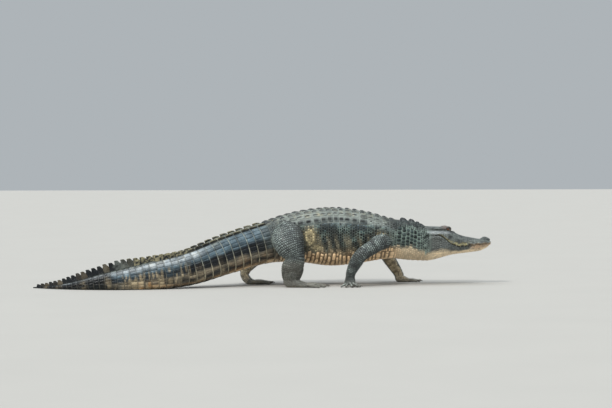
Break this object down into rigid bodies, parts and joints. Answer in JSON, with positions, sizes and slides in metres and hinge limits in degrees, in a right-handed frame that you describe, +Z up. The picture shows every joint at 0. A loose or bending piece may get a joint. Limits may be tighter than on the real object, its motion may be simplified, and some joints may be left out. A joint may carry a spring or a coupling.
{
  "type": "life-size american alligator model",
  "caption": "Still, life-size American alligator in a high walk, with a broad low snout, keeled back scutes and a crested tail that drags behind.",
  "frame": {"origin": "on the floor, under the middle of the model's length and width", "axes": "+X towards the snout, +Y towards the animal's left side, +Z up"},
  "size_m": [3.1222, 0.7282, 0.5343],
  "materials": {
    "back_skin": "dark grey-green scaly hide, satin",
    "tail_skin": "blue-black banded scaly hide, half gloss",
    "head_skin": "dark grey pitted hide, satin",
    "leg_skin": "grey scaly hide, satin",
    "jaw_skin": "cream and grey smooth hide, satin",
    "eye": "wet red-brown, glossy",
    "claw": "dark horn, satin"
  },
  "bodies": {
    "root": {"head": "head_skin", "lower_jaw": "jaw_skin", "eye_left": "eye", "eye_right": "eye", "ear_flap_left": "head_skin", "ear_flap_right": "head_skin", "neck": "back_skin", "torso": "back_skin", "tail_root": "tail_skin", "tail_middle": "tail_skin", "tail_bend": "tail_skin", "tail_rear": "tail_skin", "tail_tip": "tail_skin", "thigh_left": "leg_skin", "thigh_right": "leg_skin", "shank_left": "leg_skin", "shank_right": "leg_skin", "hind_foot_left": "leg_skin", "hind_foot_right": "leg_skin", "upper_arm_left": "leg_skin", "upper_arm_right": "leg_skin", "forearm_left": "leg_skin", "forearm_right": "leg_skin", "fore_foot_left": "leg_skin", "fore_foot_right": "leg_skin", "claw_hind_foot_left_1": "claw", "claw_hind_foot_left_2": "claw", "claw_hind_foot_left_3": "claw", "claw_hind_foot_right_1": "claw", "claw_hind_foot_right_2": "claw", "claw_hind_foot_right_3": "claw", "claw_fore_foot_left_1": "claw", "claw_fore_foot_left_2": "claw", "claw_fore_foot_left_3": "claw", "claw_fore_foot_right_1": "claw", "claw_fore_foot_right_2": "claw", "claw_fore_foot_right_3": "claw"}
  },
  "joints": []
}
